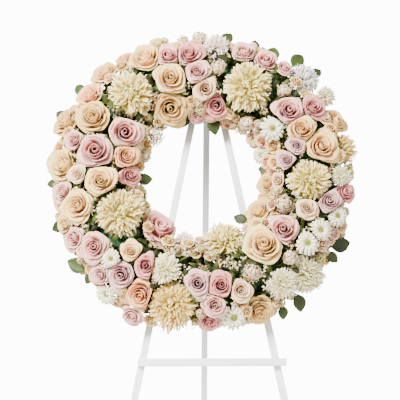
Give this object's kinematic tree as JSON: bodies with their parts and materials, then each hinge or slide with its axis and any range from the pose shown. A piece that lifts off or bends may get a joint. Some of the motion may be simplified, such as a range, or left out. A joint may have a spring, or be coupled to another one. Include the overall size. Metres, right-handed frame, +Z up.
{
  "type": "funeral wreath",
  "caption": "Round funeral wreath of roses, chrysanthemums and greenery in a foam ring, hung on a white three-legged wooden floor easel with a folding rear leg.",
  "frame": {"origin": "on the floor, below the middle of the whole object's box", "axes": "+Z up; the flowers face -Y; +X to the right of someone who looks at the flowers"},
  "size_m": [0.715, 0.6826, 1.2576],
  "materials": {
    "white_paint": "satin",
    "zinc": "satin",
    "tray_plastic": "matte",
    "wet_foam": "matte",
    "mum_petals": "matte",
    "cream_petals": "matte",
    "pink_petals": "matte",
    "button_petals": "matte",
    "babys_breath": "matte",
    "leaves": "satin"
  },
  "bodies": {
    "front_frame": {"front_leg_left": "white_paint", "front_leg_right": "white_paint", "crossbar": "white_paint", "crossbar_screw_left": "zinc", "crossbar_screw_right": "zinc", "head_block": "white_paint", "hinge_pin": "zinc", "head_hook": "zinc", "hanger_wire": "zinc", "backing_tray": "tray_plastic", "foam_ring": "wet_foam", "football_mum_01": "mum_petals", "football_mum_02": "mum_petals", "football_mum_03": "mum_petals", "football_mum_04": "mum_petals", "football_mum_05": "mum_petals", "football_mum_06": "mum_petals", "football_mum_07": "mum_petals", "football_mum_08": "mum_petals", "football_mum_09": "mum_petals", "football_mum_10": "mum_petals", "football_mum_11": "mum_petals", "cream_rose_01": "cream_petals", "cream_rose_02": "cream_petals", "cream_rose_03": "cream_petals", "cream_rose_04": "cream_petals", "cream_rose_05": "cream_petals", "cream_rose_06": "cream_petals", "cream_rose_07": "cream_petals", "cream_rose_08": "cream_petals", "cream_rose_09": "cream_petals", "cream_rose_10": "cream_petals", "cream_rose_11": "cream_petals", "cream_rose_12": "cream_petals", "cream_rose_13": "cream_petals", "cream_rose_14": "cream_petals", "pink_spray_rose_01": "pink_petals", "pink_spray_rose_02": "pink_petals", "pink_spray_rose_03": "pink_petals", "pink_spray_rose_04": "pink_petals", "pink_spray_rose_05": "pink_petals", "pink_spray_rose_06": "pink_petals", "pink_spray_rose_07": "pink_petals", "pink_spray_rose_08": "pink_petals", "pink_spray_rose_09": "pink_petals", "pink_spray_rose_10": "pink_petals", "pink_spray_rose_11": "pink_petals", "button_mum_01": "button_petals", "button_mum_02": "button_petals", "button_mum_03": "button_petals", "button_mum_04": "button_petals", "babys_breath_01": "babys_breath", "babys_breath_02": "babys_breath", "babys_breath_03": "babys_breath", "babys_breath_04": "babys_breath", "leaf_runner_left": "leaves", "leaf_runner_top": "leaves", "leaf_runner_bottom": "leaves", "leaf_runner_inner": "leaves"},
    "rear_strut": {"rear_leg": "white_paint"}
  },
  "joints": [
    {"name": "rear_leg_fold", "type": "hinge", "parent": "front_frame", "child": "rear_strut", "pos_m": [0.01433, -0.04548, 1.16445], "axis": [-1, 0, 0], "range_deg": [0, 28]}
  ]
}
